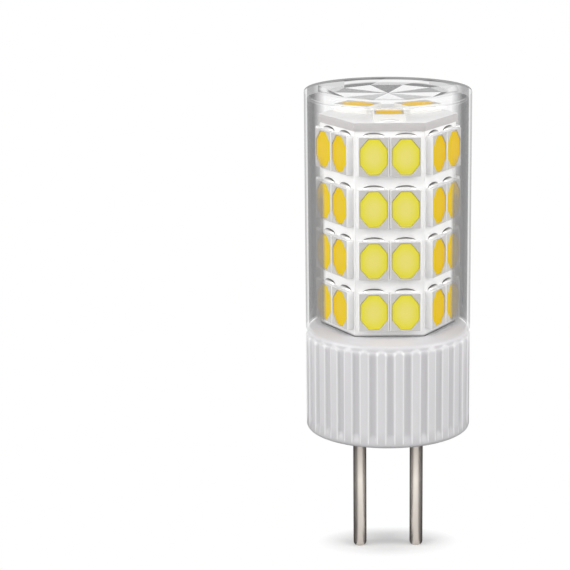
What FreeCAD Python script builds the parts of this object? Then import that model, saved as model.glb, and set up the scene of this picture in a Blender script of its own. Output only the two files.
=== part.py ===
import FreeCAD, Part
import math
import os

# Corn LED bulb with a two-pin base, in millimetres, +Z up.
# The origin is the middle of the base's flat seat, and the pins point down from it.
# The LED package sets the width of a board, the boards set the hexagonal core, and the
# cover and the base are drawn round that core, so a change inside moves what encloses it.

# LED package: moulded body, octagonal window, solder at both ends
LED_WIDTH = 2.8
LED_LENGTH = 3.65
LED_THICKNESS = 0.7
WINDOW_SIDE_RIM = 0.08
WINDOW_END_RIM = 0.1
WINDOW_CUT_ACROSS = 0.74
WINDOW_CUT_ALONG = 0.85
WINDOW_DEPTH = 0.4
PHOSPHOR_BELOW_RIM = 0.05
SOLDER_WIDTH = 2.0
SOLDER_RISE = 0.35
SOLDER_CORNER = 0.3
SOLDER_THICKNESS = 0.12

# LED boards of the core
CORE_SIDES = 6
LED_COLUMNS = 2
LED_ROWS = 4
LED_COLUMN_GAP = 0.2
LED_ROW_GAP = 1.31
LED_SIDE_MARGIN = 0.35
LED_TOP_MARGIN = 0.5
LED_BOTTOM_MARGIN = 0.67
BOARD_THICKNESS = 0.8

# Board on top of the core
TOP_BOARD_THICKNESS = 0.8
TOP_BOARD_OVERHANG = 0.15
TOP_LED_COUNT = 3
TOP_LED_EDGE_MARGIN = 0.28

# Clear cover
COVER_WALL = 0.5
COVER_TOP_THICKNESS = 1.0
COVER_EDGE_RADIUS = 0.5
CORE_CLEARANCE = 0.538
TOP_CLEARANCE = 0.7
FACET_COUNT = 10
FACET_RIM = 1.0
FACET_RING_WIDTH = 1.75
FACET_RING_DROP = 0.4
FACET_STAR_DROP = 0.08

# Ceramic base
BASE_HEIGHT = 10.1
BASE_FLOOR = 2.5
BASE_EDGE_RADIUS = 0.4
COLLAR_HEIGHT = 0.4
COLLAR_LIP = 0.1
COLLAR_LAND = 0.1
COVER_FIT = 0.05
BOARD_SEAT_DEPTH = 1.0
BOARD_SEAT_LEDGE = 0.13
BOARD_FIT = 0.05
FLUTE_COUNT = 30
FLUTE_WIDTH = 0.7
FLUTE_DEPTH = 0.25
FLUTE_ROD_SIDES = 7
FLUTE_TOP_BAND = 0.35
FLUTE_BOTTOM_BAND = 0.5

# Contact pins
PIN_PITCH = 5.6
PIN_DIAMETER = 1.3
PIN_LENGTH = 12.6
PIN_TIP_RADIUS = 0.4
PIN_SEAT_DEPTH = 0.06
PIN_TAIL_WIDTH = 0.8
PIN_FIT = 0.04
PIN_SOLDER_WIDTH = 0.4
PIN_SOLDER_HEIGHT = 0.3

# Driver board inside the base
DRIVER_BOARD_THICKNESS = 0.8
DRIVER_BOARD_FIT = 0.15
DRIVER_STEP = 0.6
DRIVER_ROOM_BELOW = 2.5
DRIVER_EDGE_MARGIN = 0.35
CAPACITOR_DIAMETER = 4.0
CAPACITOR_HEIGHT = 7.0
BRIDGE_LENGTH = 2.6
BRIDGE_WIDTH = 3.0
BRIDGE_HEIGHT = 1.2
BRIDGE_LEAD_PITCH = 1.6
CHIP_LENGTH = 2.9
CHIP_WIDTH = 1.6
CHIP_HEIGHT = 1.1
CHIP_LEAD_PITCH = 0.95
LEAD_WIDTH = 0.4
LEAD_REACH = 0.6
LEAD_THICKNESS = 0.15
RESISTOR_LENGTH = 3.2
RESISTOR_WIDTH = 1.6
RESISTOR_HEIGHT = 0.55
PART_CLEARANCE = 0.16
WIRE_DIAMETER = 0.5
WIRE_FROM_BOARD = 0.95

# Straight steps that make up each rounded edge
ROUND_STEPS = 2

# Places worked out from the sizes above
HALF_SIDE = math.pi / CORE_SIDES
LED_PAIR_WIDTH = LED_COLUMNS * LED_WIDTH + (LED_COLUMNS - 1) * LED_COLUMN_GAP
LED_ROW_PITCH = LED_LENGTH + LED_ROW_GAP
BOARD_WIDTH = LED_PAIR_WIDTH + 2 * LED_SIDE_MARGIN
BOARD_FACE_HEIGHT = (
    LED_TOP_MARGIN + LED_ROWS * LED_LENGTH + (LED_ROWS - 1) * LED_ROW_GAP + LED_BOTTOM_MARGIN
)
CORE_APOTHEM = BOARD_WIDTH / (2 * math.tan(HALF_SIDE))
CORE_INNER_APOTHEM = CORE_APOTHEM - BOARD_THICKNESS
TOP_BOARD_APOTHEM = CORE_APOTHEM + TOP_BOARD_OVERHANG
LED_CORNER_RADIUS = math.hypot(CORE_APOTHEM + LED_THICKNESS, LED_PAIR_WIDTH / 2)
COVER_INNER_RADIUS = LED_CORNER_RADIUS + CORE_CLEARANCE
BODY_RADIUS = COVER_INNER_RADIUS + COVER_WALL

CORE_BASE_Z = BASE_HEIGHT + COLLAR_HEIGHT
CORE_TOP_Z = CORE_BASE_Z + BOARD_FACE_HEIGHT
BOARD_SEAT_Z = CORE_BASE_Z - BOARD_SEAT_DEPTH
TOP_BOARD_FACE_Z = CORE_TOP_Z + TOP_BOARD_THICKNESS
COVER_CEILING_Z = TOP_BOARD_FACE_Z + LED_THICKNESS + TOP_CLEARANCE
COVER_TOP_Z = COVER_CEILING_Z + COVER_TOP_THICKNESS

CAVITY_APOTHEM = CORE_INNER_APOTHEM - BOARD_SEAT_LEDGE
CAVITY_STEP_APOTHEM = CAVITY_APOTHEM - DRIVER_STEP
DRIVER_BOARD_APOTHEM = CAVITY_APOTHEM - DRIVER_BOARD_FIT
DRIVER_UNDERSIDE_Z = BASE_FLOOR + DRIVER_ROOM_BELOW
DRIVER_FACE_Z = DRIVER_UNDERSIDE_Z + DRIVER_BOARD_THICKNESS
PIN_RADIUS = PIN_DIAMETER / 2
PIN_TAIL_HOLE = PIN_TAIL_WIDTH + 2 * PIN_FIT

UP = FreeCAD.Vector(0, 0, 1)
ORIGIN = FreeCAD.Vector(0, 0, 0)


def turned(edges):
    """Solid of revolution about Z from a closed outline in the XZ plane."""
    face = Part.Face(Part.Wire(edges))
    return face.revolve(ORIGIN, UP, 360)


def at(radius, z):
    """Point of a turned outline."""
    return FreeCAD.Vector(radius, 0, z)


def line(start, end):
    return Part.LineSegment(start, end).toShape()


def rounded(centre_radius, centre_z, radius, start_degrees, end_degrees):
    """Arc of a turned outline in straight steps, counted from the +X direction, to keep facets few."""
    points = []
    for step in range(ROUND_STEPS + 1):
        angle = math.radians(start_degrees + (end_degrees - start_degrees) * step / ROUND_STEPS)
        points.append(at(centre_radius + radius * math.cos(angle), centre_z + radius * math.sin(angle)))
    return [line(points[step], points[step + 1]) for step in range(ROUND_STEPS)]


def polygon_prism(corners, height, z=0.0):
    """Straight prism on a closed outline of (x, y) corners."""
    points = [FreeCAD.Vector(x, y, z) for x, y in corners]
    outline = Part.makePolygon(points + points[:1])
    return Part.Face(outline).extrude(FreeCAD.Vector(0, 0, height))


def ring(radius, count, turn=0.0):
    """Evenly spaced corners about Z, a flat side to the front, turned on by a part of one step."""
    angles = [-math.pi / 2 + 2 * math.pi * (index + 0.5 + turn) / count for index in range(count)]
    return [FreeCAD.Vector(radius * math.cos(angle), radius * math.sin(angle), 0) for angle in angles]


def hexagon_prism(apothem, height, z):
    """Straight prism on the core's polygon."""
    corners = ring(apothem / math.cos(HALF_SIDE), CORE_SIDES)
    return polygon_prism([(corner.x, corner.y) for corner in corners], height, z)


def flat_faced_solid(outlines):
    """Solid closed by flat faces, each given by its corners."""
    faces = [Part.Face(Part.makePolygon(corners + corners[:1])) for corners in outlines]
    return Part.Solid(Part.Shell(faces))


def block(width, length, height, x=0.0, y=0.0, z=0.0):
    """Box centred on x and y, standing on z."""
    return Part.makeBox(width, length, height, FreeCAD.Vector(x - width / 2, y - length / 2, z))


def placed(shape, origin, along, outward):
    """Copy of a shape drawn flat on XY, set on a surface with its Y along and its Z outward."""
    across = along.cross(outward)
    matrix = FreeCAD.Matrix(
        across.x, along.x, outward.x, origin.x,
        across.y, along.y, outward.y, origin.y,
        across.z, along.z, outward.z, origin.z,
        0, 0, 0, 1,
    )
    copy = shape.copy()
    copy.Placement = FreeCAD.Placement(matrix)
    return copy


def side_normal(side):
    angle = -math.pi / 2 + 2 * HALF_SIDE * side
    return FreeCAD.Vector(math.cos(angle), math.sin(angle), 0)


def window_outline():
    """Octagon of an LED's window: a rectangle with its corners cut off."""
    half_width = LED_WIDTH / 2 - WINDOW_SIDE_RIM
    half_length = LED_LENGTH / 2 - WINDOW_END_RIM
    flat_x = half_width - WINDOW_CUT_ACROSS
    flat_y = half_length - WINDOW_CUT_ALONG
    right = [(flat_x, -half_length), (half_width, -flat_y), (half_width, flat_y), (flat_x, half_length)]
    left = [(-x, -y) for x, y in right]
    return right + left


def led_body():
    body = block(LED_WIDTH, LED_LENGTH, LED_THICKNESS)
    return body.cut(polygon_prism(window_outline(), WINDOW_DEPTH, LED_THICKNESS - WINDOW_DEPTH))


def led_phosphor():
    height = WINDOW_DEPTH - PHOSPHOR_BELOW_RIM
    return polygon_prism(window_outline(), height, LED_THICKNESS - WINDOW_DEPTH)


def led_solder():
    """Solder at the LED's two ends, each a low mound with its outer corners cut off."""
    half = SOLDER_WIDTH / 2
    near = LED_LENGTH / 2
    far = near + SOLDER_RISE
    top = [(-half, near), (half, near), (half - SOLDER_CORNER, far), (SOLDER_CORNER - half, far)]
    bottom = [(-x, -y) for x, y in top]
    return Part.makeCompound([polygon_prism(end, SOLDER_THICKNESS) for end in (top, bottom)])


def on_side(shape, side):
    """One copy of an LED piece at each place on a side board."""
    normal = side_normal(side)
    across = UP.cross(normal)
    copies = []
    for row in range(LED_ROWS):
        z = CORE_TOP_Z - LED_TOP_MARGIN - LED_LENGTH / 2 - row * LED_ROW_PITCH
        for column in range(LED_COLUMNS):
            offset = (column - (LED_COLUMNS - 1) / 2) * (LED_WIDTH + LED_COLUMN_GAP)
            copies.append(placed(shape, normal * CORE_APOTHEM + across * offset + UP * z, UP, normal))
    return Part.makeCompound(copies)


def on_top(shape):
    """One copy of an LED piece at each place on the top board, pointing out from the middle."""
    radius = TOP_BOARD_APOTHEM - TOP_LED_EDGE_MARGIN - SOLDER_RISE - LED_LENGTH / 2
    copies = []
    for index in range(TOP_LED_COUNT):
        angle = -math.pi / 2 + 2 * math.pi * index / TOP_LED_COUNT
        outward = FreeCAD.Vector(math.cos(angle), math.sin(angle), 0)
        copies.append(placed(shape, outward * radius + UP * TOP_BOARD_FACE_Z, outward, UP))
    return Part.makeCompound(copies)


def side_board(side):
    """Narrow board with mitred edges, standing in the base and under the top board."""
    half_outer = CORE_APOTHEM * math.tan(HALF_SIDE)
    half_inner = CORE_INNER_APOTHEM * math.tan(HALF_SIDE)
    outline = [
        (-half_inner, -CORE_INNER_APOTHEM), (half_inner, -CORE_INNER_APOTHEM),
        (half_outer, -CORE_APOTHEM), (-half_outer, -CORE_APOTHEM),
    ]
    board = polygon_prism(outline, CORE_TOP_Z - BOARD_SEAT_Z, BOARD_SEAT_Z)
    board.rotate(ORIGIN, UP, math.degrees(2 * HALF_SIDE) * side)
    return board


def top_board():
    return hexagon_prism(TOP_BOARD_APOTHEM, TOP_BOARD_THICKNESS, CORE_TOP_Z)


def facet_dish():
    """Shallow dish of flat facets: a star round the middle, inside a ring of long triangles."""
    rim_radius = BODY_RADIUS - FACET_RIM
    star_radius = rim_radius - FACET_RING_WIDTH
    star_z = COVER_TOP_Z - FACET_RING_DROP
    star = [corner + UP * star_z for corner in ring(star_radius, FACET_COUNT)]
    rim = [corner + UP * COVER_TOP_Z for corner in ring(rim_radius, FACET_COUNT, 0.5)]
    middle = UP * (star_z - FACET_STAR_DROP)
    outlines = [rim]
    for index in range(FACET_COUNT):
        following = (index + 1) % FACET_COUNT
        outlines.append([star[index], star[following], rim[index]])
        outlines.append([rim[index], star[following], rim[following]])
        outlines.append([star[index], middle, star[following]])
    return flat_faced_solid(outlines)


def clear_cover():
    """Thin moulded cup turned upside down, with a rounded top edge and a faceted top."""
    edge_centre = BODY_RADIUS - COVER_EDGE_RADIUS
    cup = turned([
        line(at(COVER_INNER_RADIUS, BASE_HEIGHT), at(BODY_RADIUS, BASE_HEIGHT)),
        line(at(BODY_RADIUS, BASE_HEIGHT), at(BODY_RADIUS, COVER_TOP_Z - COVER_EDGE_RADIUS)),
        *rounded(edge_centre, COVER_TOP_Z - COVER_EDGE_RADIUS, COVER_EDGE_RADIUS, 0, 90),
        line(at(edge_centre, COVER_TOP_Z), at(0, COVER_TOP_Z)),
        line(at(0, COVER_TOP_Z), at(0, COVER_CEILING_Z)),
        line(at(0, COVER_CEILING_Z), at(COVER_INNER_RADIUS, COVER_CEILING_Z)),
        line(at(COVER_INNER_RADIUS, COVER_CEILING_Z), at(COVER_INNER_RADIUS, BASE_HEIGHT)),
    ])
    return cup.cut(facet_dish())


def flutes():
    """Round-ended hollows down the outside of the base, each cut by a many-sided rod with pointed ends."""
    radius = (FLUTE_WIDTH ** 2 / 4 + FLUTE_DEPTH ** 2) / (2 * FLUTE_DEPTH)
    axis_radius = BODY_RADIUS - FLUTE_DEPTH + radius
    end_length = FLUTE_WIDTH / 2
    point_length = end_length * radius / FLUTE_DEPTH
    low = FLUTE_BOTTOM_BAND + end_length
    high = BASE_HEIGHT - FLUTE_TOP_BAND - end_length
    corners = ring(radius / math.cos(math.pi / FLUTE_ROD_SIDES), FLUTE_ROD_SIDES, 0.5)
    outlines = []
    for index, corner in enumerate(corners):
        following = corners[(index + 1) % FLUTE_ROD_SIDES]
        outlines.append([corner + UP * low, following + UP * low, following + UP * high, corner + UP * high])
        outlines.append([corner + UP * high, following + UP * high, UP * (high + point_length)])
        outlines.append([following + UP * low, corner + UP * low, UP * (low - point_length)])
    cutter = flat_faced_solid(outlines)
    cutter.translate(FreeCAD.Vector(0, -axis_radius, 0))
    copies = []
    for index in range(FLUTE_COUNT):
        copy = cutter.copy()
        copy.rotate(ORIGIN, UP, 360 * index / FLUTE_COUNT)
        copies.append(copy)
    return Part.makeCompound(copies)


def ceramic_base():
    """Fluted body with a sloped collar, a hexagonal seat and stepped cavity, and seats for the pins."""
    seat_apothem = CORE_APOTHEM + BOARD_FIT
    collar_radius = COVER_INNER_RADIUS - COVER_FIT
    slope_radius = seat_apothem / math.cos(HALF_SIDE) + COLLAR_LAND
    body = turned([
        line(at(0, 0), at(BODY_RADIUS - BASE_EDGE_RADIUS, 0)),
        *rounded(BODY_RADIUS - BASE_EDGE_RADIUS, BASE_EDGE_RADIUS, BASE_EDGE_RADIUS, -90, 0),
        line(at(BODY_RADIUS, BASE_EDGE_RADIUS), at(BODY_RADIUS, BASE_HEIGHT)),
        line(at(BODY_RADIUS, BASE_HEIGHT), at(collar_radius, BASE_HEIGHT)),
        line(at(collar_radius, BASE_HEIGHT), at(collar_radius, BASE_HEIGHT + COLLAR_LIP)),
        line(at(collar_radius, BASE_HEIGHT + COLLAR_LIP), at(slope_radius, CORE_BASE_Z)),
        line(at(slope_radius, CORE_BASE_Z), at(0, CORE_BASE_Z)),
        line(at(0, CORE_BASE_Z), at(0, 0)),
    ])
    hollows = [
        hexagon_prism(seat_apothem, BOARD_SEAT_DEPTH, BOARD_SEAT_Z),
        hexagon_prism(CAVITY_APOTHEM, BOARD_SEAT_Z - DRIVER_UNDERSIDE_Z, DRIVER_UNDERSIDE_Z),
        hexagon_prism(CAVITY_STEP_APOTHEM, DRIVER_ROOM_BELOW, BASE_FLOOR),
    ]
    for x in (-PIN_PITCH / 2, PIN_PITCH / 2):
        hollows.append(Part.makeCylinder(PIN_RADIUS + PIN_FIT, PIN_SEAT_DEPTH, FreeCAD.Vector(x, 0, 0)))
        hollows.append(block(PIN_TAIL_HOLE, PIN_TAIL_HOLE, BASE_FLOOR, x=x))
    return body.cut(flutes()).cut(hollows)


def contact_pin(x):
    """Round pin with a rounded tip and a square tail that goes up through the base and the driver board."""
    tip_centre = PIN_TIP_RADIUS - PIN_LENGTH
    pin = turned([
        line(at(0, PIN_SEAT_DEPTH), at(0, -PIN_LENGTH)),
        line(at(0, -PIN_LENGTH), at(PIN_RADIUS - PIN_TIP_RADIUS, -PIN_LENGTH)),
        *rounded(PIN_RADIUS - PIN_TIP_RADIUS, tip_centre, PIN_TIP_RADIUS, -90, 0),
        line(at(PIN_RADIUS, tip_centre), at(PIN_RADIUS, PIN_SEAT_DEPTH)),
        line(at(PIN_RADIUS, PIN_SEAT_DEPTH), at(0, PIN_SEAT_DEPTH)),
    ])
    tail_length = DRIVER_FACE_Z - PIN_SEAT_DEPTH
    pin = pin.fuse(block(PIN_TAIL_WIDTH, PIN_TAIL_WIDTH, tail_length, z=PIN_SEAT_DEPTH))
    pin.translate(FreeCAD.Vector(x, 0, 0))
    return pin


def pin_solder():
    """Mound of solder over the end of each pin, on the driver board."""
    mounds = []
    for x in (-PIN_PITCH / 2, PIN_PITCH / 2):
        foot = FreeCAD.Vector(x, 0, DRIVER_FACE_Z)
        mounds.append(Part.makeCone(PIN_RADIUS + PIN_SOLDER_WIDTH, PIN_RADIUS, PIN_SOLDER_HEIGHT, foot))
    return Part.makeCompound(mounds)


def driver_board():
    board = hexagon_prism(DRIVER_BOARD_APOTHEM, DRIVER_BOARD_THICKNESS, DRIVER_UNDERSIDE_Z)
    for x in (-PIN_PITCH / 2, PIN_PITCH / 2):
        board = board.cut(block(PIN_TAIL_HOLE, PIN_TAIL_HOLE, DRIVER_FACE_Z, x=x))
    return board


def smoothing_capacitor():
    """Round can standing on the driver board."""
    radius = CAPACITOR_DIAMETER / 2
    foot = FreeCAD.Vector(0, DRIVER_BOARD_APOTHEM - DRIVER_EDGE_MARGIN - radius, DRIVER_FACE_Z)
    return Part.makeCylinder(radius, CAPACITOR_HEIGHT, foot)


def leaded_package(width, length, height, lead_pitch):
    """Moulded block with flat leads out of both sides, drawn standing on XY."""
    package = block(width, length, height)
    for y in (-lead_pitch / 2, lead_pitch / 2):
        lead = block(width + 2 * LEAD_REACH, LEAD_WIDTH, LEAD_THICKNESS, y=y)
        package = package.fuse(lead)
    return package.removeSplitter()


def bridge_rectifier():
    package = leaded_package(BRIDGE_WIDTH, BRIDGE_LENGTH, BRIDGE_HEIGHT, BRIDGE_LEAD_PITCH)
    y = DRIVER_EDGE_MARGIN + LEAD_REACH + BRIDGE_LENGTH / 2 - DRIVER_BOARD_APOTHEM
    package.translate(FreeCAD.Vector(0, y, DRIVER_FACE_Z))
    return package


def driver_chip():
    package = leaded_package(CHIP_WIDTH, CHIP_LENGTH, CHIP_HEIGHT, CHIP_LEAD_PITCH)
    return placed(package, UP * DRIVER_UNDERSIDE_Z, FreeCAD.Vector(0, 1, 0), -UP)


def chip_resistor(direction):
    """Flat resistor under the driver board, as far out as the step leaves room."""
    reach = math.sqrt((CAVITY_STEP_APOTHEM - PART_CLEARANCE) ** 2 - RESISTOR_LENGTH ** 2 / 4)
    y = direction * (reach - RESISTOR_WIDTH / 2)
    return block(RESISTOR_LENGTH, RESISTOR_WIDTH, RESISTOR_HEIGHT, y=y, z=DRIVER_UNDERSIDE_Z - RESISTOR_HEIGHT)


def feed_wire(side):
    """Straight wire up the hollow core, from the driver board to the underside of the top board."""
    foot = side_normal(side) * (CORE_INNER_APOTHEM - WIRE_FROM_BOARD) + UP * DRIVER_FACE_Z
    return Part.makeCylinder(WIRE_DIAMETER / 2, CORE_TOP_Z - DRIVER_FACE_Z, foot)


def all_pieces():
    """Every piece by the name of its node."""
    pieces = {
        "ceramic_base": ceramic_base(),
        "contact_pin_left": contact_pin(-PIN_PITCH / 2),
        "contact_pin_right": contact_pin(PIN_PITCH / 2),
        "pin_solder": pin_solder(),
        "driver_board": driver_board(),
        "smoothing_capacitor": smoothing_capacitor(),
        "bridge_rectifier": bridge_rectifier(),
        "driver_chip": driver_chip(),
        "chip_resistor_front": chip_resistor(-1),
        "chip_resistor_back": chip_resistor(1),
        "feed_wire_left": feed_wire(CORE_SIDES - 1),
        "feed_wire_right": feed_wire(1),
        "top_board": top_board(),
        "top_led_bodies": on_top(led_body()),
        "top_led_phosphor": on_top(led_phosphor()),
        "top_led_solder": on_top(led_solder()),
        "clear_cover": clear_cover(),
    }
    for side in range(CORE_SIDES):
        number = side + 1
        pieces[f"side_board_{number}"] = side_board(side)
        pieces[f"side_{number}_led_bodies"] = on_side(led_body(), side)
        pieces[f"side_{number}_led_phosphor"] = on_side(led_phosphor(), side)
        pieces[f"side_{number}_led_solder"] = on_side(led_solder(), side)
    return pieces


os.makedirs("parts", exist_ok=True)
for node, shape in all_pieces().items():
    shape.exportStep(f"parts/{node}.step")
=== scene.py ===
import math

import bmesh
import bpy
from mathutils import Matrix, Vector


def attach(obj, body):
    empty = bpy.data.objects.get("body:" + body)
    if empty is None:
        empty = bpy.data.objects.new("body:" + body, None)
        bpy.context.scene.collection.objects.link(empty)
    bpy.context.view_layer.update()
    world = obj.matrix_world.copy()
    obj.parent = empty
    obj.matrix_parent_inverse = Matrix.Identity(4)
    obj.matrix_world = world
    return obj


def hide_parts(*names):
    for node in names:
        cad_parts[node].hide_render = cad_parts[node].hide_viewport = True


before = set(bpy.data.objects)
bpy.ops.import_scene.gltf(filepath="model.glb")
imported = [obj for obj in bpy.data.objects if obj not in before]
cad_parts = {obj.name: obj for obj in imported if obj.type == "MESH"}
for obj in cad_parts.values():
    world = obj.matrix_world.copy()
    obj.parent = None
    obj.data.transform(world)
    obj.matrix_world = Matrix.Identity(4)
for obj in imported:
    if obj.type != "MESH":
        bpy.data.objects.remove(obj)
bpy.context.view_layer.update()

# Camera: the bulb stands upright on its two pins in a plain white sweep, seen from a little above.
# All sizes below are in millimetres and become metres where they meet Blender.
MM = 0.001
bpy.context.scene.view_settings.view_transform = "Standard"
camera_distance = 195.2
camera_height = 61.8
camera_pitch = math.radians(13.72)
camera_turn = math.radians(-1.6)
camera_data = bpy.data.cameras.new("camera")
camera_data.lens = 130.55
camera_data.sensor_width = 36.0
camera_data.shift_x = -0.1807
camera_data.clip_start = 0.01
camera = bpy.data.objects.new("camera", camera_data)
camera.location = Vector((
    camera_distance * math.sin(camera_turn),
    -camera_distance * math.cos(camera_turn),
    camera_height,
)) * MM
camera.rotation_euler = (math.pi / 2 - camera_pitch, 0.0, camera_turn)
bpy.context.scene.collection.objects.link(camera)
bpy.context.scene.camera = camera

# Floor of the sweep: white card that keeps the soft shadow round the pins and runs out to
# plain white further away. It throws less light back than white card would.
PIN_TIP_Z = -12.6
floor_radius = 900.0
shadow_half_width = 7.0
shadow_half_depth = 4.2
shadow_back = 0.8
bounce_grey = (0.4, 0.4, 0.4)


class Wire:
    """One output of a node, so that sums on what it carries read as plain sums."""

    def __init__(self, nodes, socket):
        self.nodes = nodes
        self.socket = socket

    def maths(self, operation, *values):
        return self.nodes.add("ShaderNodeMath", {"operation": operation}, dict(enumerate(values)))

    def __add__(self, other):
        return self.maths("ADD", self, other)

    def __sub__(self, other):
        return self.maths("SUBTRACT", self, other)

    def __rsub__(self, other):
        return self.maths("SUBTRACT", other, self)

    def __mul__(self, other):
        return self.maths("MULTIPLY", self, other)

    def __truediv__(self, other):
        return self.maths("DIVIDE", self, other)

    def __pow__(self, other):
        return self.maths("POWER", self, other)

    def at_least(self, other):
        return self.maths("MAXIMUM", self, other)

    def above(self, other):
        return self.maths("GREATER_THAN", self, other)

    __radd__ = __add__
    __rmul__ = __mul__


class Nodes:
    """A node tree that is written one line to a node."""

    def __init__(self, tree):
        self.tree = tree

    def add(self, kind, settings=None, sockets=None, out=0):
        node = self.tree.nodes.new(kind)
        for name, value in (settings or {}).items():
            if name == "stops":
                ramp = node.color_ramp.elements
                while len(ramp) < len(value):
                    ramp.new(1.0)
                for stop, (place, colour) in zip(ramp, value):
                    stop.position = place
                    stop.color = (*colour, 1.0)
            else:
                setattr(node, name, value)
        for name, value in (sockets or {}).items():
            socket = node.inputs[name]
            if isinstance(value, Wire):
                self.tree.links.new(value.socket, socket)
            elif socket.type == "RGBA" and len(value) == 3:
                socket.default_value = (*value, 1.0)
            else:
                socket.default_value = value
        return Wire(self, node.outputs[out]) if node.outputs else None

    def ramp(self, wire, *stops):
        """Number from a number, through (place, level) stops."""
        greys = [(place, (level,) * 3) for place, level in stops]
        return self.add("ShaderNodeValToRGB", {"stops": greys}, {"Fac": wire})

    def blend(self, share, first, second):
        """Colour between two colours."""
        return self.add("ShaderNodeMix", {"data_type": "RGBA"}, {0: share, 6: first, 7: second}, out=2)

    def mix_shaders(self, share, first, second):
        return self.add("ShaderNodeMixShader", None, {0: share, 1: first, 2: second})

    def place(self, scale=(1.0, 1.0, 1.0)):
        """Object coordinates in millimetres, stretched by a scale."""
        coordinates = self.add("ShaderNodeTexCoord", out="Object")
        sizes = tuple(factor / MM for factor in scale)
        return self.add("ShaderNodeMapping", None, {"Vector": coordinates, "Scale": sizes})

    def noise(self, place, scale, detail=3.0):
        return self.add("ShaderNodeTexNoise", None, {"Vector": place, "Scale": scale, "Detail": detail})

    def bump(self, height, distance, strength=1.0):
        sockets = {"Height": height, "Distance": distance * MM, "Strength": strength}
        return self.add("ShaderNodeBump", None, sockets)

    def principled(self, sockets):
        return self.add("ShaderNodeBsdfPrincipled", None, sockets)

    def axis(self, place, name):
        return self.add("ShaderNodeSeparateXYZ", None, {0: place}, out=name)

    def mark(self, name):
        """What the piece carries in its attribute of this name."""
        return self.add("ShaderNodeAttribute", {"attribute_name": name}, out="Fac")

    def ray(self, kind):
        return self.add("ShaderNodeLightPath", out="Is %s Ray" % kind)

    def seen_directly(self):
        """One for what is looked at straight, in a mirror or through clear plastic."""
        return self.ray("Camera").at_least(self.ray("Glossy")).at_least(self.ray("Transmission"))


def new_finish(name):
    """Empty material and the nodes to write it with."""
    material = bpy.data.materials.new(name)
    material.use_nodes = True
    material.node_tree.nodes.clear()
    return material, Nodes(material.node_tree)


def show(nodes, shader):
    nodes.add("ShaderNodeOutputMaterial", None, {"Surface": shader})


def linked_object(name, mesh):
    piece = bpy.data.objects.new(name, mesh)
    bpy.context.scene.collection.objects.link(piece)
    return piece


floor_mesh = bpy.data.meshes.new("floor")
floor_form = bmesh.new()
bmesh.ops.create_circle(floor_form, cap_ends=True, segments=96, radius=floor_radius * MM)
floor_form.to_mesh(floor_mesh)
floor_form.free()
floor = linked_object("floor", floor_mesh)
floor.location.z = PIN_TIP_Z * MM
card, nodes = new_finish("white_card")
spot = nodes.place()
across = nodes.axis(spot, "X") / shadow_half_width
along = (nodes.axis(spot, "Y") - shadow_back) / shadow_half_depth
from_foot = (across * across + along * along) ** 0.5
grain = nodes.noise(spot, 0.4)
direct = nodes.seen_directly()
white = nodes.blend(grain, (0.93, 0.93, 0.93), (0.96, 0.96, 0.96))
white = nodes.blend(direct, bounce_grey, white)
lit_card = nodes.principled({"Base Color": white, "Roughness": 0.9, "Specular IOR Level": 0.1})
bright_card = nodes.add("ShaderNodeEmission", None, {"Color": (1.0, 1.0, 1.0), "Strength": 1.0})
seen_share = nodes.ramp(from_foot, (0.0, 0.1), (0.55, 0.3), (1.0, 1.0))
show(nodes, nodes.mix_shaders(seen_share * direct, lit_card, bright_card))
floor_mesh.materials.append(card)

# Black card bent round the foot of the bulb and open to the front, with a floor that runs to a point
# by each pin. It is out of sight and only gives the bright pins their dark edges.
card_radius = 26.0
card_height = 15.0
card_low_z = PIN_TIP_Z + 0.02
card_opening = math.radians(42.0)
card_point_y = 0.3
card_steps = 48
pin_offset = 2.8
card_foot = []
for step in range(card_steps + 1):
    angle = -math.pi / 2 + card_opening + (2 * math.pi - 2 * card_opening) * step / card_steps
    card_foot.append((card_radius * math.cos(angle), card_radius * math.sin(angle)))
card_points = [(px * MM, py * MM, card_low_z * MM) for px, py in card_foot]
card_points += [(px * MM, py * MM, (PIN_TIP_Z + card_height) * MM) for px, py in card_foot]
between_pins = pin_offset / math.tan(card_opening)
by_left, by_right, ahead = len(card_points), len(card_points) + 1, len(card_points) + 2
card_tips = ((-pin_offset, card_point_y), (pin_offset, card_point_y), (0.0, card_point_y - between_pins))
card_points += [(px * MM, py * MM, card_low_z * MM) for px, py in card_tips]
card_faces = [(card_steps // 2, by_left, by_right), (by_left, ahead, by_right)]
for step in range(card_steps):
    above = card_steps + 1 + step
    card_faces.append((step, step + 1, above + 1, above))
    card_faces.append((step, step + 1, by_right if step < card_steps // 2 else by_left))
dark_mesh = bpy.data.meshes.new("black_card")
dark_mesh.from_pydata(card_points, [], card_faces)
black, nodes = new_finish("black_card")
grain = nodes.noise(nodes.place(), 0.5)
show(nodes, nodes.principled({
    "Base Color": nodes.blend(grain, (0.02, 0.02, 0.02), (0.03, 0.03, 0.03)), "Roughness": 0.9,
}))
dark_mesh.materials.append(black)
dark_card = linked_object("black_card", dark_mesh)
dark_card.visible_camera = False
dark_card.visible_diffuse = False
dark_card.visible_transmission = False
dark_card.visible_shadow = False

# White surroundings and lamps: the sweep is plain white where it is looked at and softer where it
# lights the bulb. Two large softboxes stand left and right of the camera, and one hangs above it.
ambient = 0.3
lamp_aim = Vector((0.0, 0.0, 10.0)) * MM
world = bpy.data.worlds.new("sweep")
bpy.context.scene.world = world
world.use_nodes = True
world.node_tree.nodes.clear()
nodes = Nodes(world.node_tree)
level = nodes.seen_directly() * (1 - ambient) + ambient
sky = nodes.add("ShaderNodeBackground", None, {"Color": (1.0, 1.0, 1.0), "Strength": level})
nodes.add("ShaderNodeOutputWorld", None, {"Surface": sky})


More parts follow.
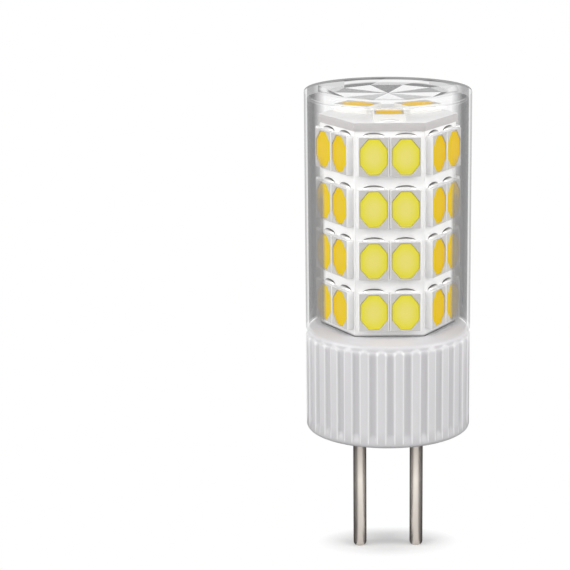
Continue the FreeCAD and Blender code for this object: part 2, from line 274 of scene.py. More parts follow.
def softbox(name, place, side, watts):
    """Soft square lamp aimed at the middle of the bulb."""
    data = bpy.data.lights.new(name, "AREA")
    data.shape = "RECTANGLE"
    data.size = side * MM
    data.size_y = side * MM
    data.energy = watts
    lamp = bpy.data.objects.new(name, data)
    lamp.location = Vector(place) * MM
    lamp.rotation_euler = (lamp_aim - lamp.location).to_track_quat("-Z", "Y").to_euler()
    bpy.context.scene.collection.objects.link(lamp)


softbox("softbox_left", (-320.0, -160.0, 90.0), 320.0, 1.27)
softbox("softbox_right", (320.0, -160.0, 90.0), 320.0, 1.2)
softbox("softbox_above", (0.0, -170.0, 380.0), 300.0, 0.5)

# Base: one fired ceramic body, pressed with thirty round-ended flutes, with a sloped collar that
# the cover drops over, a hexagonal seat for the LED boards and a stepped hollow for the driver.
body_radius = 8.0
base_height = 10.1
base_floor_z = 2.5
foot_radius = 0.4
flute_count = 30
base_columns = 720
collar_levels = [
    (7.82, 9.68), (7.80, 9.82), (7.75, 9.94), (7.65, 10.04), (7.51, 10.13),
    (7.32, 10.23), (7.12, 10.34), (6.92, 10.42), (6.74, 10.48), (6.6, 10.5),
]
hollow_levels = [
    (5.74, 10.5), (5.70, 10.47), (5.68, 10.4), (5.68, 9.5),
    (4.7, 9.5), (4.7, 5.0), (4.1, 5.0), (4.1, base_floor_z),
]


def ring(radius, z, columns, sides=0):
    """One level of a turned form, or of a form with flat sides and one of them to the front."""
    points = []
    for column in range(columns):
        angle = 2 * math.pi * column / columns
        reach = radius
        if sides:
            half = math.pi / sides
            reach = radius / math.cos((angle + half + math.pi / 2) % (2 * half) - half)
        points.append((reach * math.cos(angle) * MM, reach * math.sin(angle) * MM, z * MM))
    return points


def arc_levels(centre_radius, centre_z, radius, start, end, steps):
    """Levels of a rounded edge of a turned form, as (radius, z)."""
    angles = [math.radians(start + (end - start) * step / steps) for step in range(steps + 1)]
    return [(centre_radius + radius * math.cos(a), centre_z + radius * math.sin(a)) for a in angles]


def skin(name, rings, first_pole=None, last_pole=None):
    """Mesh over a stack of rings with the same number of points, closed at its poles."""
    columns = len(rings[0])
    points = [point for level in rings for point in level]
    faces = []
    for level in range(len(rings) - 1):
        for column in range(columns):
            following = (column + 1) % columns
            low, high = level * columns, (level + 1) * columns
            faces.append((low + column, low + following, high + following, high + column))
    for pole, level in ((first_pole, 0), (last_pole, len(rings) - 1)):
        if pole is not None:
            points.append((0.0, 0.0, pole * MM))
            start = level * columns
            for column in range(columns):
                faces.append((start + column, start + (column + 1) % columns, len(points) - 1))
    mesh = bpy.data.meshes.new(name)
    mesh.from_pydata(points, [], faces)
    return mesh


def smoothed(mesh, sharp_degrees):
    """Outward faces, shaded smooth up to an angle."""
    form = bmesh.new()
    form.from_mesh(mesh)
    bmesh.ops.recalc_face_normals(form, faces=form.faces)
    form.to_mesh(mesh)
    form.free()
    for face in mesh.polygons:
        face.use_smooth = True
    mesh.set_sharp_from_angle(angle=math.radians(sharp_degrees))
    return mesh


run_out_rows = [0.5 + 0.1 * row for row in range(13)]
reed_end_rows = [8.8 + 0.05 * row for row in range(17)]
wall_rows = run_out_rows + [3.5, 5.3, 7.1] + reed_end_rows
base_levels = arc_levels(body_radius - foot_radius, foot_radius, foot_radius, -90, 0, 8)
base_levels += [(body_radius, z) for z in wall_rows] + collar_levels
base_rings = [ring(radius, z, base_columns) for radius, z in base_levels]
base_rings += [ring(apothem, z, base_columns, sides=6) for apothem, z in hollow_levels]
base_blank = skin("ceramic_blank", base_rings, first_pole=0.0, last_pole=base_floor_z)
blank = linked_object("ceramic_blank", base_blank)


def shape_tree(name, inputs):
    """Geometry tree with its named inputs, as (nodes, wires by name)."""
    tree = bpy.data.node_groups.new(name, "GeometryNodeTree")
    tree.interface.new_socket("Geometry", in_out="INPUT", socket_type="NodeSocketGeometry")
    tree.interface.new_socket("Geometry", in_out="OUTPUT", socket_type="NodeSocketGeometry")
    for label, kind in inputs:
        tree.interface.new_socket(label, in_out="INPUT", socket_type="NodeSocket" + kind)
    nodes = Nodes(tree)
    source = tree.nodes.new("NodeGroupInput")
    wires = {socket.name: Wire(nodes, socket) for socket in source.outputs if socket.name}
    return nodes, wires


def made(piece, nodes, values, name):
    """Plain mesh object from a blank that a geometry tree shapes."""
    shaper = piece.modifiers.new("shape", "NODES")
    shaper.node_group = nodes.tree
    for socket in nodes.tree.interface.items_tree:
        if socket.in_out == "INPUT" and socket.name in values:
            shaper[socket.identifier] = values[socket.name]
    graph = bpy.context.evaluated_depsgraph_get()
    mesh = bpy.data.meshes.new_from_object(piece.evaluated_get(graph))
    mesh.name = name
    piece.modifiers.remove(shaper)
    bpy.data.objects.remove(piece)
    return linked_object(name, mesh)


ceramic, nodes = new_finish("fired_ceramic")
body_grey = ((0.645, 0.637, 0.65), (0.675, 0.667, 0.68))
foot_shade_grey = (0.54, 0.535, 0.545)
reed_edge_highlight = (0.85, 0.845, 0.855)
groove_shade_grey = (0.555, 0.547, 0.56)
speck_grey = (0.54, 0.53, 0.52)
groove = nodes.mark("groove")
spot = nodes.place()
speck = nodes.noise(spot, 9.0, 4.0)
cloud = nodes.noise(spot, 0.35, 2.0)
tone = nodes.blend(cloud, *body_grey)
height = nodes.axis(spot, "Z") / base_height
# Painted shade: the body darkens toward its bottom edge.
tone = nodes.blend(nodes.ramp(height, (0.0, 1.0), (0.16, 0.0)), tone, foot_shade_grey)
# Painted highlight on the reed rims and painted shade on the groove floors, faded at the reeds' ends.
pressed_share = nodes.ramp(height, (0.03, 0.0), (0.06, 1.0), (0.88, 1.0), (0.94, 0.3))
highlight_share = nodes.ramp(groove, (0.02, 0.0), (0.14, 1.0), (0.36, 0.0)) * pressed_share
tone = nodes.blend(highlight_share, tone, reed_edge_highlight)
groove_shade_share = nodes.ramp(groove, (0.35, 0.0), (0.85, 1.0)) * pressed_share
tone = nodes.blend(groove_shade_share, tone, groove_shade_grey)
tone = nodes.blend(nodes.ramp(speck, (0.66, 0.0), (0.78, 0.22)), tone, speck_grey)
skin_height = nodes.noise(spot, 14.0, 2.0)
show(nodes, nodes.principled({
    "Base Color": tone,
    "Roughness": nodes.ramp(speck, (0.3, 0.28), (0.7, 0.38)),
    "Normal": nodes.bump(skin_height, 0.006, 0.5),
}))

nodes, given = shape_tree("press_reeds", (
    ("Reeds", "Float"), ("Body Radius", "Float"), ("Reed Half Width", "Float"),
    ("Groove Depth", "Float"), ("Flank", "Float"), ("Lowest", "Float"), ("Run Out", "Float"),
    ("Reed Top", "Float"), ("Finish", "Material"),
))
point = nodes.add("GeometryNodeInputPosition")
x = nodes.axis(point, "X")
y = nodes.axis(point, "Y")
z = nodes.axis(point, "Z")
half = given["Reed Half Width"]
pitch = x.maths("DIVIDE", 2 * math.pi, given["Reeds"])
steps = (x.maths("ARCTAN2", y, x) + math.pi / 2) / pitch + 0.5
aside = (steps - steps.maths("ROUND", steps)) * pitch * given["Body Radius"]
past_top = (z - given["Reed Top"] + half).at_least(0.0)
from_middle = (aside * aside + past_top * past_top) ** 0.5
reach = (x * x + y * y) ** 0.5
just_inside = 0.9995
on_wall = reach.above(given["Body Radius"] * just_inside)
profile = (1 + x.maths("TANH", (from_middle - half) / given["Flank"])) * 0.5 * on_wall
fade = nodes.add("ShaderNodeMapRange", {"interpolation_type": "SMOOTHSTEP"}, {
    "Value": z, "From Min": given["Lowest"], "From Max": given["Lowest"] + given["Run Out"],
})
fall = given["Groove Depth"] * profile * fade
under_top = nodes.add("ShaderNodeMapRange", {"interpolation_type": "SMOOTHSTEP"}, {
    "Value": z, "From Min": given["Reed Top"], "From Max": given["Reed Top"] - half,
})
push = nodes.add("ShaderNodeCombineXYZ", None, {0: x / reach * fall * -1.0, 1: y / reach * fall * -1.0})
pressed = nodes.add("GeometryNodeStoreNamedAttribute", {"data_type": "FLOAT", "domain": "POINT"}, {
    "Geometry": given["Geometry"], "Name": "groove", "Value": profile * under_top,
})
pressed = nodes.add("GeometryNodeSetPosition", None, {"Geometry": pressed, "Offset": push})
pressed = nodes.add("GeometryNodeRealizeInstances", None, {0: pressed})
pressed = nodes.add("GeometryNodeSetMaterial", None, {"Geometry": pressed, "Material": given["Finish"]})
nodes.add("NodeGroupOutput", None, {0: pressed})
base = made(blank, nodes, {
    "Reeds": float(flute_count),
    "Body Radius": body_radius * MM,
    "Reed Half Width": 0.51 * MM,
    "Groove Depth": 0.2 * MM,
    "Flank": 0.11 * MM,
    "Lowest": 0.35 * MM,
    "Run Out": 1.1 * MM,
    "Reed Top": 9.55 * MM,
    "Finish": ceramic,
}, "fluted_base")
smoothed(base.data, 50)
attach(base, "root")
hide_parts("ceramic_base")

# Contact pins: turned from drawn wire with rounded tips, nickel plated, with painted shade toward
# both ends. Each sits in a shallow seat under the base, and a thinner tail goes up to the driver board.
pin_radius = 0.65
tip_radius = 0.4
pin_seat_z = 0.06
tail_radius = 0.4
tail_top_z = 5.8
pin_shade_grey = (0.42, 0.38, 0.35)
pin_levels = arc_levels(pin_radius - tip_radius, PIN_TIP_Z + tip_radius, tip_radius, -90, 0, 8)
pin_levels += [(pin_radius, z) for z in (-9.0, -6.0, -3.0, -0.5, pin_seat_z)]
pin_levels += [(tail_radius, pin_seat_z), (tail_radius, tail_top_z)]
plating, nodes = new_finish("nickel_plating")
drawn = nodes.noise(nodes.place((6.0, 6.0, 0.12)), 2.0, 4.0)
mottle = nodes.noise(nodes.place(), 1.1, 3.0)
tone = nodes.blend(drawn, (0.82, 0.76, 0.69), (0.90, 0.84, 0.77))
# Painted shade: darkest just under the base, clear midway, darker again toward the tip.
below = nodes.axis(nodes.place(), "Z") / PIN_TIP_Z
pin_shade_share = nodes.ramp(
    below, (0.05, 1.0), (0.23, 0.57), (0.45, 0.0), (0.64, 0.3), (0.8, 0.47), (1.0, 0.65),
)
tone = nodes.blend(pin_shade_share, tone, pin_shade_grey)
show(nodes, nodes.principled({
    "Base Color": tone,
    "Metallic": 1.0,
    "Roughness": nodes.ramp(mottle, (0.3, 0.34), (0.7, 0.38)),
}))
for side, offset in (("left", -pin_offset), ("right", pin_offset)):
    rings = [ring(radius, z, 48) for radius, z in pin_levels]
    mesh = smoothed(skin("pin_" + side, rings, first_pole=PIN_TIP_Z, last_pole=tail_top_z), 50)
    mesh.transform(Matrix.Translation((offset * MM, 0.0, 0.0)))
    mesh.materials.append(plating)
    pin = linked_object("pin_" + side, mesh)
    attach(pin, "root")
    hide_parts("contact_pin_" + side)

# Driver inside the base: a small laminate board with a capacitor, moulded chips, ceramic
# resistors and two sleeved wires up the core. All of it is closed in, so the solids stay.
laminate, nodes = new_finish("driver_laminate")
weave = nodes.add("ShaderNodeTexChecker", None, {"Vector": nodes.place(), "Scale": 5.0}, out="Fac")
tone = nodes.blend(weave, (0.05, 0.20, 0.09), (0.06, 0.24, 0.11))
show(nodes, nodes.principled({"Base Color": tone, "Roughness": 0.4}))
moulding, nodes = new_finish("black_moulding")
grain = nodes.noise(nodes.place(), 12.0)
tone = nodes.blend(grain, (0.02, 0.02, 0.022), (0.05, 0.05, 0.052))
show(nodes, nodes.principled({"Base Color": tone, "Roughness": 0.55, "Normal": nodes.bump(grain, 0.01)}))
can, nodes = new_finish("capacitor_sleeve")
rub = nodes.noise(nodes.place((1.0, 1.0, 0.3)), 3.0)
tone = nodes.blend(rub, (0.03, 0.035, 0.06), (0.05, 0.055, 0.085))
show(nodes, nodes.principled({"Base Color": tone, "Roughness": nodes.ramp(rub, (0.3, 0.3), (0.7, 0.45))}))
sleeve, nodes = new_finish("wire_sleeve")
rub = nodes.noise(nodes.place(), 4.0)
tone = nodes.blend(rub, (0.62, 0.60, 0.56), (0.72, 0.70, 0.66))
show(nodes, nodes.principled({"Base Color": tone, "Roughness": 0.5}))
tin, nodes = new_finish("solder_joint")
flow = nodes.noise(nodes.place(), 5.0)
tone = nodes.blend(flow, (0.55, 0.55, 0.56), (0.72, 0.72, 0.73))
show(nodes, nodes.principled({
    "Base Color": tone, "Metallic": 1.0, "Roughness": nodes.ramp(flow, (0.3, 0.25), (0.7, 0.4)),
}))
closed_in = {
    "driver_board": laminate,
    "smoothing_capacitor": can,
    "bridge_rectifier": moulding,
    "driver_chip": moulding,
    "chip_resistor_front": moulding,
    "chip_resistor_back": moulding,
    "feed_wire_left": sleeve,
    "feed_wire_right": sleeve,
    "pin_solder": tin,
}
for name, finish in closed_in.items():
    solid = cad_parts[name]
    for slot in solid.material_slots:
        slot.material = finish

# LED boards: six narrow strips of white-masked laminate, mitred and stood in the base as a
# hexagon, and one hexagonal board laid across their tops. Their cut edges stay grey, and a thin
# line of painted shadow darkens the strips where they go into the base.
core_sides = 6
core_apothem = 5.629
core_low_z = 9.5
core_top_z = 30.2
board_thickness = 0.8
top_board_apothem = 5.779
top_board_face_z = 31.0
broken_edge = 0.05
mask_white = ((0.87, 0.865, 0.86), (0.92, 0.915, 0.91))
foot_shadow_grey = (0.14, 0.14, 0.14)

mask, nodes = new_finish("white_board")
spot = nodes.place()
height = nodes.axis(spot, "Z") / core_top_z
unevenness = nodes.noise(spot, 0.8, 3.0)
fine = nodes.noise(spot, 8.0, 2.0)
white = nodes.blend(unevenness, *mask_white)
# Painted shadow: a thin dark band along the foot of the strips, just above the base.
white = nodes.blend(nodes.ramp(height, (0.348, 1.0), (0.353, 0.0)), white, foot_shadow_grey)
show(nodes, nodes.principled({
    "Base Color": white,
    "Roughness": nodes.ramp(fine, (0.3, 0.32), (0.7, 0.45)),
    "Normal": nodes.bump(fine, 0.006, 0.5),
}))
edge, nodes = new_finish("cut_laminate")
layers = nodes.noise(nodes.place((1.0, 1.0, 9.0)), 1.0, 2.0)
grey = nodes.blend(layers, (0.50, 0.48, 0.475), (0.60, 0.58, 0.575))
show(nodes, nodes.principled({"Base Color": grey, "Roughness": 0.6}))


def board_prism(name, corners, low, high, edge_faces):
    """Board on a closed outline with its edges just broken, and the sides in edge_faces left as cut."""
    form = bmesh.new()
    floor_corners = [form.verts.new((px * MM, py * MM, low * MM)) for px, py in corners]
    roof_corners = [form.verts.new((px * MM, py * MM, high * MM)) for px, py in corners]
    form.faces.new(list(reversed(floor_corners)))
    form.faces.new(roof_corners)
    count = len(corners)
    for index in range(count):
        following = (index + 1) % count
        side = form.faces.new((
            floor_corners[index], floor_corners[following], roof_corners[following], roof_corners[index],
        ))
        side.material_index = 1 if index in edge_faces else 0
    bmesh.ops.recalc_face_normals(form, faces=form.faces)
    bmesh.ops.bevel(
        form, geom=form.edges[:], offset=broken_edge * MM, segments=2, profile=0.5, affect="EDGES",
    )
    if len(edge_faces) == count:
        for face in form.faces:
            face.material_index = 1 if abs(face.normal.z) < 0.5 else 0
    mesh = bpy.data.meshes.new(name)
    form.to_mesh(mesh)
    form.free()
    mesh.materials.append(mask)
    mesh.materials.append(edge)
    return smoothed(mesh, 30)


half_side = math.pi / core_sides
inner_apothem = core_apothem - board_thickness
outer_half = core_apothem * math.tan(half_side)
inner_half = inner_apothem * math.tan(half_side)
strip_outline = [
    (-outer_half, -core_apothem), (outer_half, -core_apothem),
    (inner_half, -inner_apothem), (-inner_half, -inner_apothem),
]
for side in range(core_sides):
    mesh = board_prism("board_side_%d" % (side + 1), strip_outline, core_low_z, core_top_z, (1, 3))
    mesh.transform(Matrix.Rotation(2 * half_side * side, 4, "Z"))
    board = linked_object(mesh.name, mesh)
    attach(board, "root")
    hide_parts("side_board_%d" % (side + 1))
top_corner = top_board_apothem / math.cos(half_side)
top_outline = []
for corner in range(core_sides):
    angle = -math.pi / 2 + half_side * (2 * corner + 1)
    top_outline.append((top_corner * math.cos(angle), top_corner * math.sin(angle)))
mesh = board_prism("board_top", top_outline, core_top_z, top_board_face_z, range(core_sides))
board = linked_object("board_top", mesh)
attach(board, "root")
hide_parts("top_board")

# LEDs: fifty-one white moulded packages with an octagonal window of yellow phosphor, soldered at
# both ends. Eight stand on each strip in two columns, and three lie on the top board.
led_width = 2.8
led_length = 3.65
led_thickness = 0.7
led_corner = 0.08
led_columns = 2
led_rows = 4
led_column_pitch = 3.0
led_row_pitch = 4.96
led_top_margin = 0.5
top_led_count = 3
top_led_margin = 0.28
window_side_rim = 0.08
window_end_rim = 0.1
window_cut_across = 0.80
window_cut_along = 0.96
window_corner = 0.36
window_draft = 0.97
window_depth = 0.12


def rounded_outline(corners, radius, steps):
    """Closed outline with its corners rounded, each by the same number of points."""
    points = []
    count = len(corners)
    for index in range(count):
        here = Vector(corners[index])
        before = (Vector(corners[index - 1]) - here).normalized()
        after = (Vector(corners[(index + 1) % count]) - here).normalized()
        half = before.angle(after) / 2
        reach = radius / math.tan(half)
        start = here + before * reach
        end = here + after * reach
        for step in range(steps + 1):
            t = step / steps
            points.append(start * (1 - t) ** 2 + here * (2 * t * (1 - t)) + end * t ** 2)
    return points


def loop_of(form, outline, z, scale=1.0):
    return [form.verts.new((p.x * scale * MM, p.y * scale * MM, z * MM)) for p in outline]


def bridge(form, low, high):
    count = len(low)
    return [
        form.faces.new((low[i], low[(i + 1) % count], high[(i + 1) % count], high[i]))
        for i in range(count)
    ]


def fill_between(form, first, second):
    """Flat faces from one closed loop to another round or inside it."""
    edges = []
    for loop in (first, second):
        for index in range(len(loop)):
            pair = (loop[index], loop[(index + 1) % len(loop)])
            edges.append(form.edges.get(pair) or form.edges.new(pair))
    filled = bmesh.ops.triangle_fill(form, edges=edges, use_beauty=True)
    return [item for item in filled["geom"] if isinstance(item, bmesh.types.BMFace)]


half_x = led_width / 2
half_y = led_length / 2


def package_outline(widen):
    wide = half_x + widen
    corners = [(-wide, -half_y), (wide, -half_y), (wide, half_y), (-wide, half_y)]
    return rounded_outline(corners, led_corner, 2)


window_x = half_x - window_side_rim
window_y = half_y - window_end_rim
flat_x = window_x - window_cut_across
flat_y = window_y - window_cut_along
window_outline = rounded_outline([
    (-flat_x, -window_y), (flat_x, -window_y), (window_x, -flat_y), (window_x, flat_y),
    (flat_x, window_y), (-flat_x, window_y), (-window_x, flat_y), (-window_x, -flat_y),
], window_corner, 3)
package_levels = (
    (0.09, 0.0), (0.09, led_thickness - 0.2), (0.02, led_thickness - 0.03), (-0.01, led_thickness),
)

form = bmesh.new()
front_mark = form.faces.layers.float.new("front")
package_loops = [loop_of(form, package_outline(widen), z) for widen, z in package_levels]
mouth = loop_of(form, window_outline, led_thickness)
cup = loop_of(form, [p * window_draft for p in window_outline], led_thickness - window_depth)
form.faces.new(list(reversed(package_loops[0])))
for low, high in zip(package_loops, package_loops[1:]):
    bridge(form, low, high)
for face in fill_between(form, package_loops[-1], mouth):
    face[front_mark] = 1.0
for face in bridge(form, mouth, cup):
    face[front_mark] = 1.0
form.faces.new(cup)
led_body_mesh = bpy.data.meshes.new("led_body_blank")
form.to_mesh(led_body_mesh)
form.free()
smoothed(led_body_mesh, 30)

phosphor_levels = ((0.965, 0.55), (0.965, 0.63), (0.9, 0.645), (0.6, 0.652), (0.3, 0.655))
phosphor_crown = 0.656
form = bmesh.new()
middle_mark = form.verts.layers.float.new("middle")
window_loops = []
for scale, z in phosphor_levels:
    loop = loop_of(form, window_outline, z, scale)
    for vert in loop:
        vert[middle_mark] = 1.0 - scale
    window_loops.append(loop)
for low, high in zip(window_loops, window_loops[1:]):
    bridge(form, low, high)
crown = form.verts.new((0.0, 0.0, phosphor_crown * MM))
crown[middle_mark] = 1.0
last = window_loops[-1]
for index in range(len(last)):
    form.faces.new((last[index], last[(index + 1) % len(last)], crown))
form.faces.new(list(reversed(window_loops[0])))
phosphor_mesh = bpy.data.meshes.new("phosphor_blank")
form.to_mesh(phosphor_mesh)
form.free()
smoothed(phosphor_mesh, 40)

solder_half = 1.0
solder_rise = 0.35
solder_low_rise = 0.12
solder_height = 0.28
solder_lifts = 4
solder_steps = 12
form = bmesh.new()
rim_mark = form.verts.layers.float.new("rim")
for way, rise in ((1.0, solder_rise), (-1.0, solder_low_rise)):
    rows = []
    for lift in range(solder_lifts + 1):
        climb = math.pi / 2 * lift / solder_lifts
        row = []
        for step in range(solder_steps + 1):
            sweep = math.pi * step / solder_steps
            vert = form.verts.new((
                -solder_half * math.cos(sweep) * way * MM,
                (half_y + rise * math.sin(sweep) * math.cos(climb)) * way * MM,
                solder_height * math.sin(sweep) * math.sin(climb) * MM,
            ))
            vert[rim_mark] = 1.0 - lift / solder_lifts
            row.append(vert)
        rows.append(row)
    for low, high in zip(rows, rows[1:]):
        for step in range(solder_steps):
            form.faces.new((low[step], high[step], high[step + 1], low[step + 1]))
    back = [rows[0][0]] + rows[-1][1:-1] + [rows[0][-1]]
    form.faces.new(back)
    form.faces.new(rows[0])
bmesh.ops.remove_doubles(form, verts=form.verts, dist=0.0005 * MM)
solder_mesh = bpy.data.meshes.new("solder_blank")
form.to_mesh(solder_mesh)
form.free()
smoothed(solder_mesh, 50)

nodes, given = shape_tree("set_leds", (
    ("Piece", "Object"), ("Column Pitch", "Float"), ("Row Pitch", "Float"),
    ("Board Distance", "Float"), ("Middle Height", "Float"), ("Top Distance", "Float"),
    ("Top Height", "Float"), ("Finish", "Material"),
))
piece_info = nodes.add("GeometryNodeObjectInfo", None, {"Object": given["Piece"]}, out="Geometry")
grid = nodes.add("GeometryNodeMeshGrid", None, {
    "Size X": given["Column Pitch"], "Size Y": given["Row Pitch"] * (led_rows - 1.0),
    "Vertices X": led_columns, "Vertices Y": led_rows,
})
one_board = nodes.add("GeometryNodeInstanceOnPoints", None, {"Points": grid, "Instance": piece_info})
stand = nodes.add("ShaderNodeCombineXYZ", None, {
    1: given["Board Distance"] * -1.0, 2: given["Middle Height"],
})
one_board = nodes.add("GeometryNodeTransform", None, {
    "Geometry": one_board, "Translation": stand, "Rotation": (math.pi / 2, 0.0, 0.0),
})
lay = nodes.add("ShaderNodeCombineXYZ", None, {1: given["Top Distance"] * -1.0, 2: given["Top Height"]})
one_top = nodes.add("GeometryNodeTransform", None, {
    "Geometry": piece_info, "Translation": lay, "Rotation": (0.0, 0.0, math.pi),
})
number = nodes.add("GeometryNodeInputIndex")
joined = nodes.tree.nodes.new("GeometryNodeJoinGeometry")
for copies, instance in ((core_sides, one_board), (top_led_count, one_top)):
    posts = nodes.add("GeometryNodePoints", None, {"Count": copies})
    turn = nodes.add("ShaderNodeCombineXYZ", None, {2: number * (2 * math.pi / copies)})
    around = nodes.add("GeometryNodeInstanceOnPoints", None, {
        "Points": posts, "Instance": instance, "Rotation": turn,
    })
    nodes.tree.links.new(around.socket, joined.inputs[0])
plain = nodes.add("GeometryNodeRealizeInstances", None, {0: Wire(nodes, joined.outputs[0])})
plain = nodes.add("GeometryNodeSetMaterial", None, {"Geometry": plain, "Material": given["Finish"]})
nodes.add("NodeGroupOutput", None, {0: plain})
led_places = nodes


def on_top_board(nodes):
    """One on what lies on the top board."""
    return nodes.axis(nodes.place(), "Z").above(top_board_face_z - 0.1)


moulded, nodes = new_finish("led_moulding")
package_white = ((0.86, 0.855, 0.85), (0.92, 0.915, 0.91))
package_cream = (0.77, 0.76, 0.72)
face_grey = ((0.53, 0.515, 0.50), (0.60, 0.585, 0.57))
pores = nodes.noise(nodes.place(), 9.0, 3.0)
sides = nodes.blend(on_top_board(nodes) * 0.8, nodes.blend(pores, *package_white), package_cream)
show(nodes, nodes.principled({
    "Base Color": nodes.blend(nodes.mark("front"), sides, nodes.blend(pores, *face_grey)),
    "Roughness": nodes.ramp(pores, (0.3, 0.35), (0.7, 0.5)),
    "Normal": nodes.bump(pores, 0.004, 0.5),
}))
phosphor, nodes = new_finish("yellow_phosphor")
lemon = ((0.77, 0.96, 0.24), (0.82, 1.0, 0.30))
middle_sheen = (0.81, 1.0, 1.0)
top_yellow = (0.97, 1.0, 0.12)
powder = nodes.noise(nodes.place(), 16.0, 3.0)
# Painted sheen: each window pales toward its middle, standing in for a soft reflection.
sheen_share = nodes.ramp(nodes.mark("middle"), (0.1, 0.0), (0.7, 1.0))
window = nodes.blend(sheen_share, nodes.blend(powder, *lemon), middle_sheen)
on_top = on_top_board(nodes)
show(nodes, nodes.principled({
    "Base Color": nodes.blend(on_top, window, top_yellow),
    "Roughness": nodes.ramp(powder, (0.3, 0.5), (0.7, 0.65)),
    "Specular IOR Level": 0.05,
    "Normal": nodes.bump(powder, 0.006, 0.5),
    "Coat Weight": 1 - on_top * 0.4,
    "Coat IOR": 1.04,
    "Coat Tint": (1.0, 0.735, 0.175),
}))
solder, nodes = new_finish("led_solder")
solder_bright = (0.80, 0.79, 0.78)
solder_shade_grey = (0.12, 0.115, 0.105)
flow = nodes.noise(nodes.place(), 4.0, 3.0)
# Painted shade: each joint darkens toward its foot on the board, much less on the top board.
solder_shade_share = nodes.ramp(nodes.mark("rim"), (0.27, 0.0), (0.7, 1.0)) * (1 - on_top_board(nodes) * 0.85)
show(nodes, nodes.principled({
    "Base Color": nodes.blend(solder_shade_share, solder_bright, solder_shade_grey),
    "Metallic": 0.6,
    "Roughness": nodes.ramp(flow, (0.3, 0.3), (0.7, 0.42)),
}))
led_sizes = {
    "Column Pitch": led_column_pitch * MM,
    "Row Pitch": led_row_pitch * MM,
    "Board Distance": core_apothem * MM,
    "Middle Height": (core_top_z - led_top_margin - half_y - (led_rows - 1) / 2 * led_row_pitch) * MM,
    "Top Distance": (top_board_apothem - top_led_margin - solder_rise - half_y) * MM,
    "Top Height": top_board_face_z * MM,
}
for name, blank_mesh, finish, slot in (
    ("led_bodies", led_body_mesh, moulded, "led_moulding"),
    ("led_phosphor", phosphor_mesh, phosphor, "phosphor"),
    ("led_solder", solder_mesh, solder, "solder"),
):
    pattern = linked_object(name + "_pattern", blank_mesh)
    carrier = linked_object(name + "_carrier", bpy.data.meshes.new(name + "_carrier"))
    group = made(carrier, led_places, {**led_sizes, "Piece": pattern, "Finish": finish}, name + "_all")
    bpy.data.objects.remove(pattern)
    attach(group, "root")
    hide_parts("top_" + name, *["side_%d_%s" % (side + 1, name) for side in range(core_sides)])

# Cover: one clear injection-moulded cup, turned upside down over the core. Its edge is rounded and
# its top is cut into ten-pointed facets. Seen toward its edges, the wall is greyed by painted shade
# and turns glossy, and a painted dark reflection half hides what stands behind it, more so lower down.
cover_radius = 8.0
cover_inner = 7.72
cover_low_z = 10.1
cover_top_z = 33.4
ceiling_z = 32.7
cover_edge_radius = 0.3
cover_fillet = 0.25
facet_count = 10
facet_rim = 7.0
facet_star = 5.1
star_drop = 0.4
peak_drop = 0.48
cover_columns = 160
# Painted shade on the lid, set facet by facet, and for the flat land and the far rounded rim.
petal_shade = (0.5, 0.02, 0.75, 0.05, 0.9, 0.05, 0.75, 0.02, 0.5, 0.02)
lower_facet_shade = (0.0, 0.45, 0.3, 0.0, 0.0, 0.0, 0.3, 0.45, 0.0, 0.0)
upper_facet_shade = (0.35, 0.15, 0.4, 0.0, 0.0, 0.4, 0.15, 0.35, 0.0, 0.0)
land_shade = 0.13
far_rim_shade = 0.85
faint_ring = 0.45

outer_wall_rows = (cover_low_z, 10.4, 20.0, 30.0, 32.8, 33.0)
inner_wall_rows = (cover_low_z, 10.4, 20.0, 30.0, 32.3, 32.4)
outer_levels = [(cover_radius, z) for z in outer_wall_rows]
outer_levels += arc_levels(
    cover_radius - cover_edge_radius, cover_top_z - cover_edge_radius, cover_edge_radius, 0, 90, 8,
)
inner_levels = [(cover_inner, z) for z in inner_wall_rows]
inner_levels += arc_levels(cover_inner - cover_fillet, ceiling_z - cover_fillet, cover_fillet, 0, 90, 6)
cover_faces = ("outside", "inside", "bevel", "fillet", "land", "slope", "facet")
form = bmesh.new()
for label in cover_faces:
    form.faces.layers.float.new(label)
marks = dict(zip(cover_faces, form.faces.layers.float.values()))


def verts_of(points):
    return [form.verts.new(point) for point in points]


outer = [verts_of(ring(radius, z, cover_columns)) for radius, z in outer_levels]
inner = [verts_of(ring(radius, z, cover_columns)) for radius, z in inner_levels]
for step, (low, high) in enumerate(zip(outer, outer[1:])):
    for face in bridge(form, low, high):
        face[marks["outside" if step < len(outer_wall_rows) else "bevel"]] = 1.0
for step, (low, high) in enumerate(zip(inner, inner[1:])):
    for face in bridge(form, high, low):
        face[marks["inside" if step < len(inner_wall_rows) else "fillet"]] = 1.0
bridge(form, inner[0], outer[0])
form.faces.new(list(reversed(inner[-1])))


def facet_corner(radius, turn, z):
    """Corner of the lid's facets, turned from the front by a share of one facet."""
    angle = -math.pi / 2 + 2 * math.pi * turn / facet_count
    return form.verts.new((radius * math.cos(angle) * MM, radius * math.sin(angle) * MM, z * MM))


star = []
rim = []
for index in range(facet_count):
    star.append(facet_corner(facet_star, index + 0.5, cover_top_z - star_drop))
    rim.append(facet_corner(facet_rim, index + 1.0, cover_top_z))
peak = form.verts.new((0.0, 0.0, (cover_top_z - peak_drop) * MM))
for index in range(facet_count):
    following = (index + 1) % facet_count
    petal = form.faces.new((star[index], star[following], peak))
    petal[marks["facet"]] = petal_shade[index]
    lower = form.faces.new((rim[index], star[following], star[index]))
    lower[marks["slope"]] = 1.0 if index % 2 else faint_ring
    lower[marks["facet"]] = lower_facet_shade[index]
    upper = form.faces.new((rim[index], rim[following], star[following]))
    upper[marks["slope"]] = faint_ring if index % 2 else 1.0
    upper[marks["facet"]] = upper_facet_shade[index]
for face in fill_between(form, outer[-1], rim):
    face[marks["land"]] = 1.0
cover_mesh = bpy.data.meshes.new("cover")
form.to_mesh(cover_mesh)
form.free()
smoothed(cover_mesh, 20)

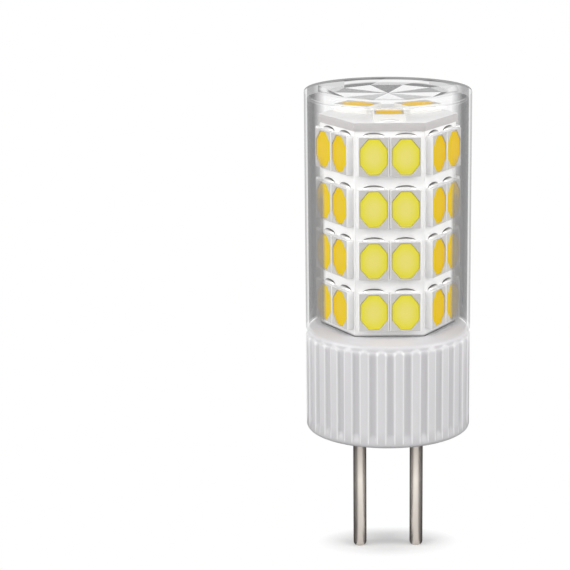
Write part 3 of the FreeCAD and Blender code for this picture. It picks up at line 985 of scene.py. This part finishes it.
clear, nodes = new_finish("clear_plastic")
outside, inside, bevel, fillet, land, slope, facet = [nodes.mark(label) for label in cover_faces]
spot = nodes.place()
x = nodes.axis(spot, "X")
y = nodes.axis(spot, "Y")
reach = (x * x + y * y) ** 0.5 / cover_radius
height = nodes.axis(spot, "Z") / cover_top_z
ripple = nodes.noise(nodes.place((1.0, 1.0, 0.15)), 0.5, 2.0)
edge_on = nodes.add("ShaderNodeLayerWeight", None, {"Blend": 0.5}, out="Facing")
behind = nodes.add("ShaderNodeNewGeometry", out="Backfacing")
in_front = 1 - behind
looked_at = 1 - nodes.ray("Shadow").at_least(nodes.ray("Diffuse"))
# Painted shade: the clear wall greys where it is seen edge-on, most on the far wall and along the outline.
far_outside = nodes.ramp(edge_on, (0.35, 0.0), (0.55, 0.72), (0.71, 0.72), (0.75, 0.1))
far_inside = nodes.ramp(edge_on, (0.38, 0.0), (0.60, 0.72), (0.93, 0.72), (0.97, 0.1))
outline = nodes.ramp(edge_on, (0.72, 0.0), (0.80, 0.25), (0.92, 0.62))
star_ring = nodes.ramp(reach, (0.69, 1.0), (0.74, 0.14), (0.79, 0.12), (0.83, 0.75))
star_edge = nodes.ramp(reach, (0.67, 0.8), (0.72, 0.0))
painted_shade_share = far_outside * outside * behind
for share in (
    far_inside * inside * in_front,
    outline * outside,
    bevel * behind * far_rim_shade,
    star_ring * slope * in_front,
    star_edge * slope * behind,
    facet,
    land * land_shade,
):
    painted_shade_share = painted_shade_share.at_least(share)
# Painted reflection: a dark glossy band on the near wall at middling angles, over its lower part only.
reflection_band_share = nodes.ramp(edge_on, (0.362, 0.0), (0.40, 0.86), (0.50, 0.86), (0.60, 0.0)) * outside * in_front
reflection_band_share = reflection_band_share * nodes.ramp(height, (0.335, 0.0), (0.365, 1.0), (0.70, 1.0), (0.84, 0.0))
clear_film = nodes.add("ShaderNodeBsdfTransparent", None, {"Color": (0.99, 0.99, 0.99)})
shade_film = nodes.add("ShaderNodeBsdfTransparent", None, {"Color": (0.28, 0.28, 0.285)})
gloss = nodes.add("ShaderNodeBsdfGlossy", None, {
    "Color": (1.0, 1.0, 1.0), "Roughness": 0.03, "Normal": nodes.bump(ripple, 0.01, 0.3),
})
dark_reflection = nodes.add("ShaderNodeBsdfGlossy", None, {"Color": (0.27, 0.265, 0.26), "Roughness": 0.2})
film = nodes.mix_shaders(painted_shade_share * looked_at, clear_film, shade_film)
film = nodes.mix_shaders(reflection_band_share * looked_at, film, dark_reflection)
wall_mirror, lid_mirror, fillet_mirror, least_mirror = 0.4, 0.06, 0.35, 0.006
mirror = edge_on ** 5.0 * (outside.at_least(inside) * wall_mirror + lid_mirror)
mirror = mirror + fillet * behind * fillet_mirror + least_mirror
show(nodes, nodes.mix_shaders(mirror * looked_at, film, gloss))
cover_mesh.materials.append(clear)
cover = linked_object("cover", cover_mesh)
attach(cover, "root")
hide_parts("clear_cover")
